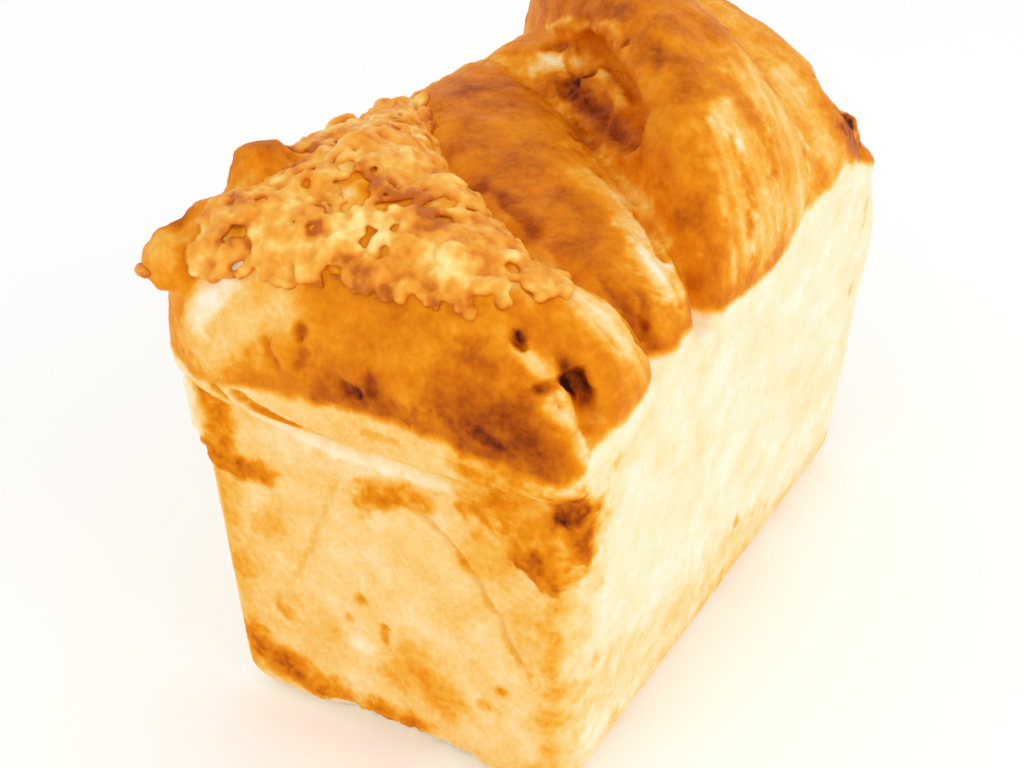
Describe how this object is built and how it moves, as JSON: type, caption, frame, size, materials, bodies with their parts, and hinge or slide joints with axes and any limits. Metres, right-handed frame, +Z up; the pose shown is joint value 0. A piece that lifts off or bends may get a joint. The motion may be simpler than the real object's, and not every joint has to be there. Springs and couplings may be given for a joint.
{
  "type": "cheese pull-apart bread loaf",
  "caption": "Tin-baked loaf with pale flat sides and a tall browned top of folded dough pieces under melted, toasted cheese.",
  "frame": {"origin": "middle of the flat base that the loaf stands on", "axes": "+X along the loaf's length, away from the end with the folded seam; +Z up; the near long side faces -Y"},
  "size_m": [0.196, 0.113, 0.162],
  "materials": {
    "crust": "baked bread crust, golden brown on top and pale on the sides, matte with a slight gloss where cheese melted"
  },
  "bodies": {
    "root": {"loaf": "crust"}
  },
  "joints": []
}
